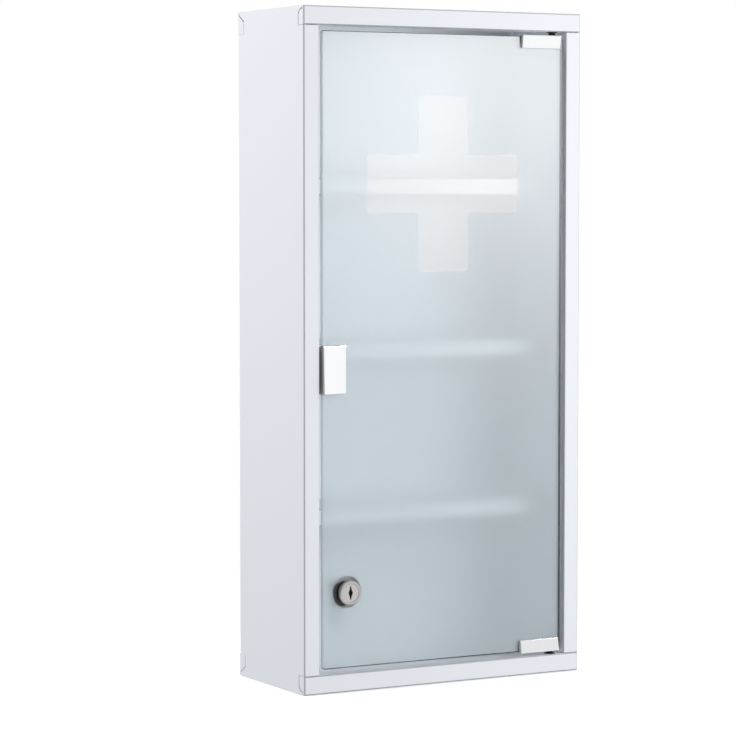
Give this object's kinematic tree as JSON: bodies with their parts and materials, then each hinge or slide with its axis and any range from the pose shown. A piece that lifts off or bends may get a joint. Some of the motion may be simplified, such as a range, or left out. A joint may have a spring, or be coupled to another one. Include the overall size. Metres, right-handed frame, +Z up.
{
  "type": "medicine cabinet",
  "caption": "Shallow wall-hung steel medicine cabinet with shelves and a frosted glass door on pivot clamps, with a clear cross, a clip handle and a cam lock.",
  "frame": {"origin": "centre of the four wall holes, on the rear face of the back sheet", "axes": "+Z up, +Y into the wall, +X to the right seen from the front; the door faces -Y"},
  "size_m": [0.27, 0.1247, 0.57],
  "materials": {
    "white_powder_coat": "white powder coat, satin",
    "frosted_glass": "toughened, frosted on the inside round a clear cross",
    "bright_chrome": "polished chrome plate",
    "satin_nickel": "satin nickel plate",
    "zinc_steel": "bright zinc plate",
    "clear_liner": "soft translucent vinyl",
    "black_gasket": "matte",
    "white_nylon": "moulded",
    "black_nylon": "moulded",
    "black_steel": "black oxide",
    "ferrite": "pressed and fired, dark grey"
  },
  "bodies": {
    "cabinet": {"left_side_panel": "white_powder_coat", "right_side_panel": "white_powder_coat", "top_panel": "white_powder_coat", "bottom_panel": "white_powder_coat", "back_panel": "white_powder_coat", "upper_shelf": "white_powder_coat", "middle_shelf": "white_powder_coat", "lower_shelf": "white_powder_coat", "top_pivot_bush": "black_nylon", "bottom_pivot_bush": "black_nylon", "catch_housing": "white_nylon", "catch_magnet": "ferrite", "catch_pole_plates": "zinc_steel", "catch_screws": "zinc_steel"},
    "door": {"door_glass": "frosted_glass", "top_hinge_clamp": "bright_chrome", "bottom_hinge_clamp": "bright_chrome", "top_hinge_liner": "clear_liner", "bottom_hinge_liner": "clear_liner", "top_pivot_pin": "black_steel", "bottom_pivot_pin": "black_steel", "hinge_grub_screws": "zinc_steel", "handle_clip": "bright_chrome", "handle_liner": "clear_liner", "handle_grub_screws": "zinc_steel", "lock_housing": "satin_nickel", "lock_gasket": "black_gasket", "lock_washer": "zinc_steel", "lock_nut": "satin_nickel"},
    "lock": {"lock_plug": "satin_nickel", "lock_cam": "zinc_steel", "cam_washer": "zinc_steel", "cam_screw": "zinc_steel"}
  },
  "joints": [
    {"name": "door_swing", "type": "hinge", "parent": "cabinet", "child": "door", "pos_m": [0.1093, -0.1145, 0], "axis": [0, 0, 1], "range_deg": [0, 105]},
    {"name": "lock_turn", "type": "hinge", "parent": "door", "child": "lock", "pos_m": [-0.0927, -0.119, -0.2015], "axis": [0, 1, 0], "range_deg": [0, 90]}
  ]
}
